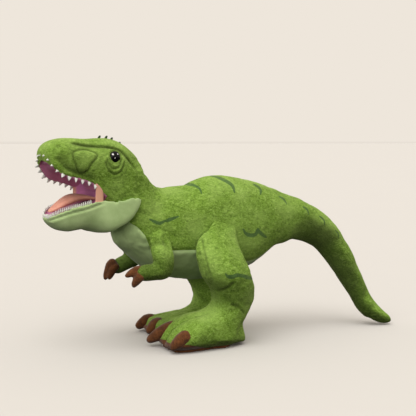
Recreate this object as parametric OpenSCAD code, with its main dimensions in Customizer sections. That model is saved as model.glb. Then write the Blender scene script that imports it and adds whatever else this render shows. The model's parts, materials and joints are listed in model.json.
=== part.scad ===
// Stuffed tyrannosaur: sewn plush panels over stuffed cores, an open mouth with felt teeth, safety eyes,
// felt claws, and soft flexures at the jaw, neck, shoulders, hips and tail.
// Frame: millimetres, +Z up, head towards -X, tail towards +X, the animal's left towards -Y.
// Every soft form follows a list of sections: [x, y, z, tilt, half width, up, down, squareness].
// Tilt turns a section's "up" from +Z towards +X, in degrees, and the sections run head-ward or downward.

/* [Body] */
// Height of the back above the floor
back_height = 211; // [205:1:216]
// Half width of the trunk
trunk_half_width = 42; // [38:1:42]
// Half angle of the pale belly panel, measured round the trunk from straight down
belly_half_angle = 72; // [50:1:80]
// Thickness of the plush panels, backing and pile together
skin_t = 2.4; // [1.6:0.2:3]

/* [Head] */
// How far the head is turned to the animal's left at rest
head_turn = 9; // [0:1:12]
// Diameter of the safety eyes
eye_d = 16; // [12:1:18]
// Number of felt teeth along each side of the upper lip
upper_teeth = 11; // [7:1:12]
// Number of felt teeth along each side of the lower lip
lower_teeth = 11; // [7:1:12]
// Length of the longest upper tooth
tooth_length = 6.5; // [4:0.5:7]
// Height of the spikes on the crown
spike_height = 4; // [3:0.5:8]

/* [Limbs] */
// How far the right leg stands behind the left one
stride = 20; // [0:1:24]
// How much lower the right arm hangs than the left, in degrees
right_arm_drop = 20; // [0:1:28]
// Thickness of the felt soles
sole_t = 3; // [2:0.5:4]

/* [Tail] */
// How far the tip of the tail swings to the animal's left at rest
tail_sweep = 40; // [0:1:45]

/* [Hidden] */
$fn = 40;
// Moves the design's own axes to the middle of its box
shift = [-10.9, 0, 0];

green = "#6f9a35";
dark_green = "#38542b";
pale_green = "#93ad78";
brown = "#5a3016";
stuffing = "#f1efe8";
lining = "#a4628a";
peach = "#dd9180";
felt_white = "#f2f2ee";
glossy_black = "#0c0c0e";
washer_white = "#dfe2e4";

fine = 22;       // sides of the trunk, head and tail sections
coarse = 14;     // sides of the limb sections
claw_sides = 10; // sides of the claw sections
cup_gap = 1.6;   // clearance between a stuffed ball and its cup
wedge = 9;       // angle between a flexure's rim and its middle plane
piece_gap = 0.3; // clearance between pieces that are sewn or glued on

// ---- Flexures ---------------------------------------------------------------------------------------------
neck_pivot = [-106, 0, 163];
neck_tilt = 31;
neck_ball_r = 26;
jaw_pivot = [-158, 0, 168];
jaw_end_r = 20.5;
tail_base_pivot = [98, 0, 151];
tail_base_tilt = 10;
tail_base_ball_r = 25;
tail_tip_pivot = [171, -tail_sweep * 0.16, 124];
tail_tip_tilt = 41;
tail_tip_ball_r = 15;
shoulder = [-100, -44, 130];

// ---- Section functions ------------------------------------------------------------------------------------
function mix(a, b, f) = a + (b - a) * f;
function spline_at(a, b, c, d, f) =
    0.5 * (2 * b + (c - a) * f + (2 * a - 5 * b + 4 * c - d) * f * f + (3 * b - a - 3 * c + d) * f * f * f);
function smooth(rows, steps) =
    let (last = len(rows) - 1)
    [for (i = [0:last - 1]) for (k = [0:steps - 1])
        spline_at(rows[max(i - 1, 0)], rows[i], rows[i + 1], rows[min(i + 2, last)], k / steps),
     rows[last]];
function signed_power(v, e) = sign(v) * pow(abs(v), e);
// A point of a section, kept above a floor height
function section_point(r, angle, low) =
    let (across = r[4] * signed_power(cos(angle), 2 / r[7]),
         s = signed_power(sin(angle), 2 / r[7]),
         along = (s > 0 ? r[5] : r[6]) * s)
    [r[0] + along * sin(r[3]), r[1] + across, max(r[2] + along * cos(r[3]), low)];
function thinned(rows, t) =
    [for (r = rows) [r[0], r[1], r[2], r[3], max(r[4] - t, 0.5), max(r[5] - t, 0.5), max(r[6] - t, 0.5), r[7]]];

// A round section of a ball or cup; polar is its angle from the head-ward axis of the flexure
function ball_row(pivot, tilt, r, polar) =
    [pivot[0] - r * cos(polar) * cos(tilt), pivot[1], pivot[2] + r * cos(polar) * sin(tilt), tilt,
     r * sin(polar), r * sin(polar), r * sin(polar), 2];
function cup_ahead(pivot, tilt, r) = [for (p = [8, 31, 55, 90 - wedge]) ball_row(pivot, tilt, r + cup_gap, p)];
function cup_behind(pivot, tilt, r) = [for (p = [90 + wedge, 125, 149, 172]) ball_row(pivot, tilt, r + cup_gap, p)];
function dome_behind(pivot, tilt, r) = [for (p = [172, 149, 125, 90 - wedge]) ball_row(pivot, tilt, r, p)];
// The rim of a form at a flexure: side is 1 on its head-ward side and -1 on the other
function rim_row(pivot, tilt, side, w, up, down) =
    let (reach = side * max(up, down) * tan(wedge))
    [pivot[0] - reach * cos(tilt), pivot[1], pivot[2] + reach * sin(tilt), tilt, w, up, down, 2.15];

// A closed stuffed form through the rows
module core(rows, sides, low = 0) {
    last = len(rows) - 1;
    points = [for (r = rows) for (k = [0:sides - 1]) section_point(r, 360 * k / sides, low)];
    walls = [for (i = [0:last - 1]) for (k = [0:sides - 1])
        let (a = i * sides + k, b = i * sides + (k + 1) % sides)
        each [[a, b, b + sides], [a, b + sides, a + sides]]];
    start_cap = [for (k = [sides - 1:-1:0]) k];
    end_cap = [for (k = [0:sides - 1]) last * sides + k];
    polyhedron(points, concat([start_cap], walls, [end_cap]), convexity = 6);
}

// A sewn panel over the rows, between two angles round the section
module panel(rows, from, to, cells, low = 0) {
    last = len(rows) - 1;
    n = cells + 1;
    layer = (last + 1) * n;
    backing = thinned(rows, skin_t);
    points = concat(
        [for (r = rows) for (k = [0:cells]) section_point(r, mix(from, to, k / cells), low)],
        [for (r = backing) for (k = [0:cells]) section_point(r, mix(from, to, k / cells), low + skin_t)]);
    function at(i, k) = i * n + k;
    outside = [for (i = [0:last - 1]) for (k = [0:cells - 1])
        each [[at(i, k), at(i, k + 1), at(i + 1, k + 1)], [at(i, k), at(i + 1, k + 1), at(i + 1, k)]]];
    inside = [for (f = outside) [f[2] + layer, f[1] + layer, f[0] + layer]];
    rim = concat([for (k = [0:cells]) at(0, k)], [for (i = [1:last]) at(i, cells)],
        [for (k = [cells - 1:-1:0]) at(last, k)], [for (i = [last - 1:-1:1]) at(i, 0)]);
    m = len(rim);
    edge = [for (j = [0:m - 1])
        let (a = rim[j], b = rim[(j + 1) % m])
        each [[b, a, a + layer], [b, a + layer, b + layer]]];
    polyhedron(points, concat(outside, inside, edge), convexity = 6);
}

// A sewn sleeve all the way round the rows, open at both ends
module sleeve(rows, sides, low = 0) {
    last = len(rows) - 1;
    layer = (last + 1) * sides;
    backing = thinned(rows, skin_t);
    points = concat(
        [for (r = rows) for (k = [0:sides - 1]) section_point(r, 360 * k / sides, low)],
        [for (r = backing) for (k = [0:sides - 1]) section_point(r, 360 * k / sides, low + skin_t)]);
    outside = [for (i = [0:last - 1]) for (k = [0:sides - 1])
        let (a = i * sides + k, b = i * sides + (k + 1) % sides)
        each [[a, b, b + sides], [a, b + sides, a + sides]]];
    inside = [for (f = outside) [f[2] + layer, f[1] + layer, f[0] + layer]];
    ends = [for (k = [0:sides - 1])
        let (a = k, b = (k + 1) % sides, c = last * sides + k, d = last * sides + (k + 1) % sides)
        each [[b, a, a + layer], [b, a + layer, b + layer], [c, d, d + layer], [c, d + layer, c + layer]]];
    polyhedron(points, concat(outside, inside, ends), convexity = 6);
}

// Turns the head's own frame to where the head looks
module in_head_frame() {
    translate(shift + neck_pivot) rotate([0, 0, head_turn]) translate(-neck_pivot) children();
}
module in_body_frame() {
    translate(shift) children();
}

// ---- Trunk ------------------------------------------------------------------------------------------------
trunk_rows = concat(
    [rim_row(tail_base_pivot, tail_base_tilt, 1, trunk_half_width - 11, 36, 34.5)],
    smooth([
        [78, 0, 150, 8, trunk_half_width - 7, 44, 44, 2.15],
        [46, 0, 146, 3, trunk_half_width - 1, back_height - 153, 56, 2.25],
        [12, 0, 143, 0, trunk_half_width, back_height - 143, 62, 2.3],
        [-20, 0, 141, 2, trunk_half_width, back_height - 144, 64, 2.3],
        [-50, 0, 140, 7, trunk_half_width + 1, 59, 60, 2.25],
        [-78, 0, 146, 19, trunk_half_width + 2, 54, 57, 2.2]], 2),
    [rim_row(neck_pivot, neck_tilt, -1, trunk_half_width - 1, 43.5, 49)]);
module trunk_filling() {
    color(stuffing) core(concat(
        dome_behind(tail_base_pivot, tail_base_tilt, tail_base_ball_r),
        thinned(trunk_rows, skin_t),
        cup_behind(neck_pivot, neck_tilt, neck_ball_r)), fine);
}
module trunk_skin_left() {
    color(green) panel(trunk_rows, 90, 270 - belly_half_angle, 8);
}
module trunk_skin_right() {
    color(green) panel(trunk_rows, belly_half_angle - 90, 90, 8);
}
module belly_panel() {
    color(pale_green) panel(trunk_rows, 270 - belly_half_angle, 270 + belly_half_angle, 8);
}

// ---- Neck -------------------------------------------------------------------------------------------------
module neck_filling() {
    color(stuffing) translate(neck_pivot) sphere(r = neck_ball_r);
}

// ---- Head -------------------------------------------------------------------------------------------------
crown_half_angle = 27; // half angle of the crown gusset round the head
lip_angle = 42;        // half angle of the palate and throat panels, from straight down
skull_rows = smooth([
    [-121, 0, 183.5, 25, 37.5, 36, 36.5, 2.15],
    [-127.5, 0, 205, 16, 37, 31.5, 32.5, 2.2],
    [-138, 0, 218.5, 12, 36.5, 30, 31.5, 2.3],
    [-150, 0, 226, 6, 36, 32, 36, 2.5],
    [-165, 0, 227.5, 3, 35, 32, 38, 2.9],
    [-183, 0, 231, 0, 33, 27, 32.5, 3.2],
    [-199, 0, 235.5, 0, 31.5, 23.7, 28.5, 3.4],
    [-212, 0, 238.5, 0, 30, 21, 27, 3.4],
    [-222, 0, 240.5, 0, 27.5, 17.5, 23.5, 3.2],
    [-229.5, 0, 242, 0, 23.5, 12.5, 17.5, 3],
    [-234.5, 0, 242.5, 0, 17, 7.5, 10, 2.6],
    [-236.5, 0, 242.5, 0, 10, 4, 4, 2.2]], 2);
head_rows = concat([rim_row(neck_pivot, neck_tilt, 1, 38.5, 39, 46)], skull_rows);
throat_rows = [for (i = [0:7]) head_rows[i]];
mouth_rows = [for (i = [9:len(head_rows) - 1]) head_rows[i]];
module head_filling() {
    color(stuffing) difference() {
        core(concat(
            cup_ahead(neck_pivot, neck_tilt, neck_ball_r),
            thinned(head_rows, skin_t)), fine);
        eye_pockets();
    }
}
module head_skin_left() {
    color(green) difference() {
        panel(head_rows, 90 + crown_half_angle, 270 - lip_angle, 6);
        stem_holes();
    }
}
module head_skin_right() {
    color(green) difference() {
        panel(head_rows, lip_angle - 90, 90 - crown_half_angle, 6);
        stem_holes();
    }
}
module crown_gusset() {
    color(green) panel(head_rows, 90 - crown_half_angle, 90 + crown_half_angle, 4);
}
module throat_panel() {
    color(pale_green) panel(throat_rows, 270 - lip_angle, 270 + lip_angle, 5);
}
module palate_lining() {
    color(lining) panel(mouth_rows, 270 - lip_angle, 270 + lip_angle, 5);
}

// A point on the rows at a fraction of their length
function row_at(rows, f) =
    let (p = f * (len(rows) - 1), i = min(floor(p), len(rows) - 2))
    mix(rows[i], rows[i + 1], p - i);
// One pointed felt tooth, hanging (or standing, with up = 1) outside the lip
module tooth(rows, f, angle, length, up) {
    r = row_at(rows, f);
    spot = section_point(r, angle, 0);
    side = spot[1] < 0 ? -1 : 1;
    half = 2.1;
    translate([spot[0], spot[1] + side * piece_gap, spot[2]])
        rotate([up ? 0 : 180, 0, 0])
            rotate([90, 0, 0])
                linear_extrude(1.2, center = true)
                    polygon([[-half, -1], [half, -1], [0, length]]);
}
module tooth_row(rows, first, last, count, angle, longest, shortest, up) {
    for (side = [0, 1])
        for (i = [0:count - 1])
            let (f = mix(first, last, i / (count - 1)), a = side == 0 ? angle : 180 - angle)
            tooth(rows, f, a, mix(longest, shortest, pow(i / (count - 1), 0.6)), up);
}
module upper_teeth_felt() {
    color(felt_white) tooth_row(mouth_rows, 0.9, 0.12, upper_teeth, 222, tooth_length, 3.2, false);
}

// Eyes: a domed safety eye on a ribbed stem through the plush, held by a washer inside the head
eye_spot = [-158, 0, 238];
eye_reach = 33.8;
stem_d = 4.8;
stem_length = 11;
washer_d = 18;
washer_t = 1.6;
module at_eye(side) {
    translate([eye_spot[0], side * eye_reach, eye_spot[2]]) rotate([side * -90, 0, 0]) children();
}
module safety_eye(side) {
    color(glossy_black) at_eye(side) {
        intersection() {
            translate([0, 0, -eye_d * 0.12]) sphere(d = eye_d * 1.06);
            cylinder(h = eye_d, d = eye_d * 1.2);
        }
        translate([0, 0, -stem_length]) cylinder(h = stem_length + 1, d = stem_d, $fn = 16);
    }
}
module eye_washer(side) {
    color(washer_white) at_eye(side)
        translate([0, 0, -skin_t - piece_gap - 5])
            difference() {
                cylinder(h = washer_t, d = washer_d, $fn = 24);
                translate([0, 0, -1]) cylinder(h = washer_t + 2, d = stem_d + 2 * piece_gap, $fn = 16);
            }
}
// The space that the eyes' stems and washers take inside the head
module eye_pockets() {
    for (side = [-1, 1]) at_eye(side) {
        translate([0, 0, -skin_t - 2 * piece_gap - 5])
            cylinder(h = 60, d = washer_d + 2 * piece_gap, $fn = 24);
        translate([0, 0, -stem_length - piece_gap]) cylinder(h = 60, d = stem_d + 2 * piece_gap, $fn = 16);
    }
}
module stem_holes() {
    for (side = [-1, 1]) at_eye(side)
        translate([0, 0, -stem_length]) cylinder(h = 40, d = stem_d + 2 * piece_gap, $fn = 16);
}
module eye_left() {
    safety_eye(-1);
}
module eye_right() {
    safety_eye(1);
}
module eye_washer_left() {
    eye_washer(-1);
}
module eye_washer_right() {
    eye_washer(1);
}

// Spikes on the middle of the crown
module crown_spikes() {
    color(dark_green)
        for (i = [0:3]) {
            r = row_at(skull_rows, 0.25 - i * 0.055 + 0.1);
            top = section_point(r, 90, 0);
            translate([top[0], 0, top[2] + piece_gap]) rotate([0, 24, 0])
                cylinder(h = spike_height - i * 0.4, d1 = 4, d2 = 0.8, $fn = 8);
        }
}

// ---- Jaw --------------------------------------------------------------------------------------------------
jaw_lip_angle = 18; // angle of the lower lip seam above the middle of the section
jaw_end_rows = [for (a = [78, 52, 26, 0])
    [jaw_pivot[0] + jaw_end_r * sin(a), 0, jaw_pivot[2], 0, 26 + 3 * cos(a), jaw_end_r * cos(a),
     jaw_end_r * cos(a), 2.3]];
jaw_front_rows = smooth([
    [-174, 0, 166.4, 0, 30, 17.4, 18, 2.4],
    [-187, 0, 165.4, 0, 29, 16.6, 16, 2.4],
    [-200, 0, 165, 0, 27.5, 15, 14, 2.4],
    [-212, 0, 165.4, 0, 25.5, 12.6, 12, 2.4],
    [-222, 0, 166.4, 0, 22, 9.4, 9.8, 2.3],
    [-228, 0, 167.6, 0, 16.5, 6, 6.5, 2.2],
    [-231, 0, 168.2, 0, 10, 3.4, 3.4, 2]], 2);
jaw_rows = concat(jaw_end_rows, jaw_front_rows);
module jaw_filling() {
    color(stuffing) core(thinned(jaw_rows, skin_t), fine);
}
module jaw_skin() {
    color(pale_green) panel(jaw_rows, 180 - jaw_lip_angle, 360 + jaw_lip_angle, 12);
}
module mouth_floor_lining() {
    color(lining) panel(jaw_rows, jaw_lip_angle, 180 - jaw_lip_angle, 5);
}
module lower_teeth_felt() {
    color(felt_white) tooth_row(jaw_front_rows, 0.92, 0.22, lower_teeth, 180 - jaw_lip_angle - 8, 4, 3, true);
}
tongue_rows = smooth([
    [-176, 0, 186, 0, 11, 3, 2.4, 2],
    [-191, 0, 187, -4, 12.5, 4.5, 4, 2],
    [-206, 0, 185.5, -18, 11.5, 5, 4.4, 2],
    [-219, 0, 180.4, -22, 8.5, 3.4, 2.6, 2],
    [-228, 0, 176.6, -22, 3.6, 1.4, 1.4, 2]], 2);
module tongue() {
    color(peach) core(tongue_rows, claw_sides);
}

// ---- Tail -------------------------------------------------------------------------------------------------
// Sideways place of the tail at a distance along X
function sweep_at(x) = -tail_sweep * pow(max(x - 132, 0) / 118, 1.4);
function swept(rows) = [for (r = rows) [r[0], sweep_at(r[0]), r[2], r[3], r[4], r[5], r[6], r[7]]];
tail_base_rows = concat(
    [rim_row(tail_tip_pivot, tail_tip_tilt, 1, 20, 20.5, 22)],
    swept(smooth([
        [158, 0, 134.6, 32, 22, 22.5, 23.5, 2.1],
        [140.5, 0, 144.2, 23, 24.5, 24.8, 25.5, 2.1],
        [120, 0, 150.5, 15, 28, 29, 29, 2.1]], 2)),
    [rim_row(tail_base_pivot, tail_base_tilt, -1, 31, 35, 34)]);
tail_tip_rows = concat(
    swept(smooth([
        [256.5, 0, 4.6, 44, 4.4, 4.4, 4.4, 2],
        [250, 0, 8, 48, 8, 8.6, 8.4, 2],
        [239, 0, 15.6, 53, 11, 12, 12.6, 2],
        [226, 0, 28.6, 60, 12.6, 13.4, 14.6, 2],
        [215, 0, 47, 65, 13.6, 14.6, 14.6, 2],
        [203, 0, 69, 66, 15, 15.8, 16.4, 2.05],
        [191, 0, 92, 60, 17, 17.2, 18.6, 2.1]], 2)),
    [rim_row(tail_tip_pivot, tail_tip_tilt, -1, 19.5, 20, 22)]);
module tail_base_filling() {
    color(stuffing) core(concat(
        dome_behind(tail_tip_pivot, tail_tip_tilt, tail_tip_ball_r),
        thinned(tail_base_rows, skin_t),
        cup_behind(tail_base_pivot, tail_base_tilt, tail_base_ball_r)), fine);
}
module tail_base_skin() {
    color(green) sleeve(tail_base_rows, fine);
}
module tail_tip_filling() {
    color(stuffing) core(concat(
        thinned(tail_tip_rows, skin_t),
        cup_behind(tail_tip_pivot, tail_tip_tilt, tail_tip_ball_r)), fine);
}
module tail_tip_skin() {
    color(green) sleeve(tail_tip_rows, fine);
}

// ---- Arms -------------------------------------------------------------------------------------------------
arm_rows = smooth([
    [-100, -57.5, 150, -90, 7, 8, 8, 2],
    [-100, -58.5, 143, -90, 12.5, 14, 14, 2],
    [-99.5, -59, 126, -90, 13.5, 15, 15, 2.1],
    [-98.5, -59, 113, -78, 13, 13, 14, 2.1],
    [-101, -59.5, 103, -45, 12.5, 9, 15, 2],
    [-109, -60, 99.5, -12, 12, 9.5, 10, 2],
    [-119, -60.5, 99, 0, 11.5, 9.5, 9.5, 2],
    [-127.5, -61, 98.5, 4, 11, 8.8, 8.5, 2],
    [-131.5, -61, 98.2, 4, 6, 5, 5, 2]], 2);
arm_claws = [
    // base, then tip: the upper inner claw and the lower outer one
    [[-132, -57.5, 101], [-144.5, -57, 97]],
    [[-130.5, -64.5, 94.5], [-139, -66, 85.5]]];
// Puts the left arm's own frame on a side, hanging by its drop
module on_arm(side) {
    drop = side > 0 ? right_arm_drop : 0;
    mirror([0, side > 0 ? 1 : 0, 0])
        translate(shoulder) rotate([0, -drop, 0]) translate(-shoulder) children();
}
// A blunt curved claw from its base to its tip
module claw(base, tip, r0, r1) {
    d = tip - base;
    tilt = atan2(d[2], -d[0]);
    rows = [for (f = [0, 0.25, 0.5, 0.75, 0.93, 1])
        let (r = mix(r0, r1, pow(f, 1.6)) * sqrt(max(1 - pow(f, 6), 0.02)))
        [base[0] + d[0] * f, base[1] + d[1] * f, base[2] + d[2] * (0.55 * f + 0.45 * f * f), tilt,
         r, r, r, 2]];
    core(rows, claw_sides);
}
module arm_filling(side) {
    color(stuffing) on_arm(side) core(thinned(arm_rows, skin_t), coarse);
}
module arm_skin(side) {
    color(green) on_arm(side) sleeve(arm_rows, coarse);
}
module hand_claws(side) {
    color(brown) on_arm(side) for (c = arm_claws) claw(c[0], c[1], 5, 3);
}
module arm_left_filling() { arm_filling(-1); }
module arm_left_skin() { arm_skin(-1); }
module hand_left_claws() { hand_claws(-1); }
module arm_right_filling() { arm_filling(1); }
module arm_right_skin() { arm_skin(1); }
module hand_right_claws() { hand_claws(1); }

// ---- Legs -------------------------------------------------------------------------------------------------
left_leg_rows = smooth([
    [-16, -60, 164, -90, 11, 13, 14, 2],
    [-18, -64, 156, -90, 20, 27, 26, 2.1],
    [-20, -66.5, 138, -90, 23, 32, 31, 2.2],
    [-20, -67.5, 114, -90, 24, 34, 32, 2.25],
    [-17, -67, 92, -90, 24, 32, 35, 2.2],
    [-9, -64, 74, -90, 22.5, 26, 33, 2.15],
    [-8, -61, 58, -84, 21.5, 23, 32, 2.1],
    [-13, -58.5, 44, -64, 22, 22, 29, 2.1],
    [-21, -56, 33, -46, 25, 22, 35, 2.2],
    [-34, -54, 26, -24, 30, 21, 32, 2.4],
    [-50, -53, 23, -8, 34, 20, 24, 2.5],
    [-65, -52.5, 20.5, 0, 36.5, 18, 20.5, 2.6],
    [-77, -52.5, 18, 0, 36, 15.5, 18, 2.5],
    [-85, -53, 15.5, 0, 32, 11, 15, 2.3],
    [-89, -53, 13.5, 0, 25, 6, 10, 2.1]], 1);
// The right leg is written as a left one, then mirrored: its shank stands further back over a flatter foot
right_leg_rows = smooth([
    [-32, -60, 164, -90, 11, 13, 14, 2],
    [-34, -64, 156, -90, 20, 27, 26, 2.1],
    [-36, -66.5, 138, -90, 23, 31, 31, 2.2],
    [-33, -67.5, 114, -90, 24, 32, 33, 2.25],
    [-23, -65, 92, -90, 23.5, 29, 34, 2.2],
    [-9, -61, 74, -90, 22, 25, 31, 2.15],
    [-3, -57, 58, -84, 20.5, 21, 28, 2.1],
    [-5, -54, 44, -66, 20.5, 19, 26, 2.1],
    [-13, -52, 31, -46, 23, 17.5, 30, 2.2],
    [-30, -50.5, 22, -20, 28, 16, 25, 2.4],
    [-50, -50, 18.5, -6, 32, 14, 20, 2.5],
    [-67, -50, 17, 0, 34, 13.5, 17, 2.6],
    [-79, -50, 15.5, 0, 33, 12.5, 15.5, 2.5],
    [-87.5, -50, 14, 0, 29, 9, 13.5, 2.3],
    [-91.5, -50, 12.5, 0, 23, 5, 9, 2.1]], 1);
// Per foot, the base and tip of the outer claw, then of the inner one
left_toe_claws = [[[-85, -71, 15.5], [-98, -78, 5]], [[-85, -38, 16], [-104, -26, 5]]];
right_toe_claws = [[[-87.5, -64, 13.5], [-104, -66, 5]], [[-87.5, -34, 14], [-103, -27, 5]]];
foot_start = 9;  // the row where the foot begins
function leg_rows(side) = side < 0 ? left_leg_rows : right_leg_rows;
function foot_rows(side) = [for (i = [foot_start:len(leg_rows(side)) - 1]) leg_rows(side)[i]];
module on_leg(side) {
    translate([side > 0 ? stride : 0, 0, 0]) mirror([0, side > 0 ? 1 : 0, 0]) children();
}
module leg_filling(side) {
    color(stuffing) on_leg(side) core(thinned(leg_rows(side), skin_t), coarse, sole_t + skin_t);
}
module leg_skin(side) {
    color(green) on_leg(side) sleeve(leg_rows(side), coarse, sole_t);
}
// The sole follows the foot's outline, pulled in under the rounded edge, and is round at the heel
module sole(side) {
    tread = 0.84;
    rows = foot_rows(side);
    inner = [for (i = [len(rows) - 1:-1:0]) [rows[i][0], rows[i][1] + tread * rows[i][4]]];
    outer = [for (r = rows) [r[0], r[1] - tread * r[4]]];
    heel_r = tread * rows[0][4];
    heel = [for (a = [72:-24:-72]) [-22 + heel_r * cos(a), rows[0][1] - 2 + heel_r * sin(a)]];
    color(brown) on_leg(side) linear_extrude(sole_t) polygon(concat(inner, heel, outer));
}
module foot_claws(side) {
    claws = side < 0 ? left_toe_claws : right_toe_claws;
    color(brown) on_leg(side) for (c = claws) claw(c[0], c[1], 8.6, 4.4);
}
module leg_left_filling() { leg_filling(-1); }
module leg_left_skin() { leg_skin(-1); }
module sole_left() { sole(-1); }
module foot_left_claws() { foot_claws(-1); }
module leg_right_filling() { leg_filling(1); }
module leg_right_skin() { leg_skin(1); }
module sole_right() { sole(1); }
module foot_right_claws() { foot_claws(1); }

in_body_frame() trunk_filling();
in_body_frame() trunk_skin_left();
in_body_frame() trunk_skin_right();
in_body_frame() belly_panel();
in_body_frame() neck_filling();
in_head_frame() head_filling();
in_head_frame() head_skin_left();
in_head_frame() head_skin_right();
in_head_frame() crown_gusset();
in_head_frame() throat_panel();
in_head_frame() palate_lining();
in_head_frame() upper_teeth_felt();
in_head_frame() eye_left();
in_head_frame() eye_right();
in_head_frame() eye_washer_left();
in_head_frame() eye_washer_right();
in_head_frame() crown_spikes();
in_head_frame() jaw_filling();
in_head_frame() jaw_skin();
in_head_frame() mouth_floor_lining();
in_head_frame() lower_teeth_felt();
in_head_frame() tongue();
in_body_frame() tail_base_filling();
in_body_frame() tail_base_skin();
in_body_frame() tail_tip_filling();
in_body_frame() tail_tip_skin();
in_body_frame() arm_left_filling();
in_body_frame() arm_left_skin();
in_body_frame() hand_left_claws();
in_body_frame() arm_right_filling();
in_body_frame() arm_right_skin();
in_body_frame() hand_right_claws();
in_body_frame() leg_left_filling();
in_body_frame() leg_left_skin();
in_body_frame() sole_left();
in_body_frame() foot_left_claws();
in_body_frame() leg_right_filling();
in_body_frame() leg_right_skin();
in_body_frame() sole_right();
in_body_frame() foot_right_claws();
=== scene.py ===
"""The looks of a stuffed tyrannosaur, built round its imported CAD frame.

Shapes are worked out in millimetres in the design's own axes (the CAD source before its shift), in numpy arrays, and
turned into Blender objects in metres at the end. The head has a frame of its own, turned about the neck's pivot.
"""

import json
import math

import bmesh
import bpy
import numpy as np
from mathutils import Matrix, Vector, noise
from mathutils.bvhtree import BVHTree


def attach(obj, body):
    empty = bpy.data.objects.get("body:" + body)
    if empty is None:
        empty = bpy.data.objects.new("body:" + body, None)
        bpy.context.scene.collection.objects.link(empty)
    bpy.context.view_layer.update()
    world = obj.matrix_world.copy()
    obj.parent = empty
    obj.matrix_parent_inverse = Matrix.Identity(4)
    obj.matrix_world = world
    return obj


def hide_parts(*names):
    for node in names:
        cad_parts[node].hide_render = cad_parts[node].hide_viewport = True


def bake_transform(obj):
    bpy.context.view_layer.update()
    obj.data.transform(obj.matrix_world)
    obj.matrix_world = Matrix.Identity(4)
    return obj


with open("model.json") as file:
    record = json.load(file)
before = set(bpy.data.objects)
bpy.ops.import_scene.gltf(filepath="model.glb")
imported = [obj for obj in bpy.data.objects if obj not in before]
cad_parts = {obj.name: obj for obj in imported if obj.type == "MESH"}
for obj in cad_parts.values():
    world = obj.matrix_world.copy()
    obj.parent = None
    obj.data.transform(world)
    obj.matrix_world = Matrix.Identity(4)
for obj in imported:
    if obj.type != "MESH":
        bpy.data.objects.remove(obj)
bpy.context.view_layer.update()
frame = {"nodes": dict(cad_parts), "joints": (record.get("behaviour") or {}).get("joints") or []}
JOINTS = {j["name"]: j for j in frame["joints"]}
SIDES = ((-1, "left"), (1, "right"))

# ---- Frames ----------------------------------------------------------------------------------------------------------
NECK = np.array([-106.0, 0.0, 163.0])  # the neck's pivot in the design's axes
OFFSET = np.array(JOINTS["neck_turn"]["pos_m"]) * 1000 - NECK
HEAD_TURN = math.atan2(-JOINTS["head_nod"]["axis"][0], JOINTS["head_nod"]["axis"][1])
NECK_AXIS = np.array([-math.cos(math.radians(31)), 0, math.sin(math.radians(31))])
TAIL_BASE = np.array(JOINTS["tail_base_sway"]["pos_m"]) * 1000 - OFFSET
TAIL_TIP = np.array(JOINTS["tail_tip_sway"]["pos_m"]) * 1000 - OFFSET
TAIL_BASE_AXIS = np.array([math.cos(math.radians(10)), 0, -math.sin(math.radians(10))])
TAIL_TIP_AXIS = np.array([math.cos(math.radians(41)), 0, -math.sin(math.radians(41))])


def turned(points, angle):
    """Points turned about the vertical line through the neck's pivot."""
    c, s = math.cos(angle), math.sin(angle)
    p = points - NECK
    return np.stack([c * p[:, 0] - s * p[:, 1], s * p[:, 0] + c * p[:, 1], p[:, 2]], 1) + NECK


def to_head(points):
    """Points of the design in the head's own frame, whose x runs along the snout."""
    return turned(points, -HEAD_TURN)


def from_head(points):
    return turned(points, HEAD_TURN)


def head_point(x, z):
    """A point of the head's middle plane, in the design's axes."""
    return from_head(np.array([[x, 0.0, z]]))[0]


def to_world(points):
    """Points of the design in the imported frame, in metres."""
    return (np.asarray(points, float) + OFFSET) / 1000


# ---- Small maths -----------------------------------------------------------------------------------------------------
def ease(low, high, x):
    """From 0 at low to 1 at high, with soft ends."""
    t = np.clip((x - low) / (high - low), 0, 1)
    return t * t * (3 - 2 * t)


def circle(count):
    """The cosines and sines of evenly spaced angles round a circle."""
    u = np.linspace(0, 2 * math.pi, count, endpoint=False)
    return np.cos(u), np.sin(u)


def bell(x, width):
    """From 1 at zero to nearly nothing past twice the width."""
    return np.exp(-((x / width) ** 2))


def along(table, x):
    """A value read from a table of (x, value) rows, smoothly, for an array of x."""
    rows = np.array(sorted(table), float)
    i = np.clip(np.searchsorted(rows[:, 0], x) - 1, 0, len(rows) - 2)
    t = np.clip((x - rows[i, 0]) / (rows[i + 1, 0] - rows[i, 0]), 0, 1)
    a, b = rows[np.maximum(i - 1, 0), 1], rows[i, 1]
    c, d = rows[i + 1, 1], rows[np.minimum(i + 2, len(rows) - 1), 1]
    return 0.5 * (2 * b + (c - a) * t + (2 * a - 5 * b + 4 * c - d) * t**2 + (3 * b - a - 3 * c + d) * t**3)


def read(table, x):
    """One value read from such a table."""
    return along(table, np.array([x]))[0]


def smooth_line(points, steps=6, closed=False):
    """A smooth polyline through control points."""
    p = np.array(points, float)
    n = len(p)
    out = []
    for i in range(n if closed else n - 1):
        if closed:
            a, b, c, d = p[i - 1], p[i], p[(i + 1) % n], p[(i + 2) % n]
        else:
            a, b, c, d = p[max(i - 1, 0)], p[i], p[i + 1], p[min(i + 2, n - 1)]
        for t in np.arange(steps) / steps:
            out.append(0.5 * (2 * b + (c - a) * t + (2 * a - 5 * b + 4 * c - d) * t**2
                              + (3 * b - a - 3 * c + d) * t**3))
    out.append(p[0] if closed else p[-1])
    return np.array(out)


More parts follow.
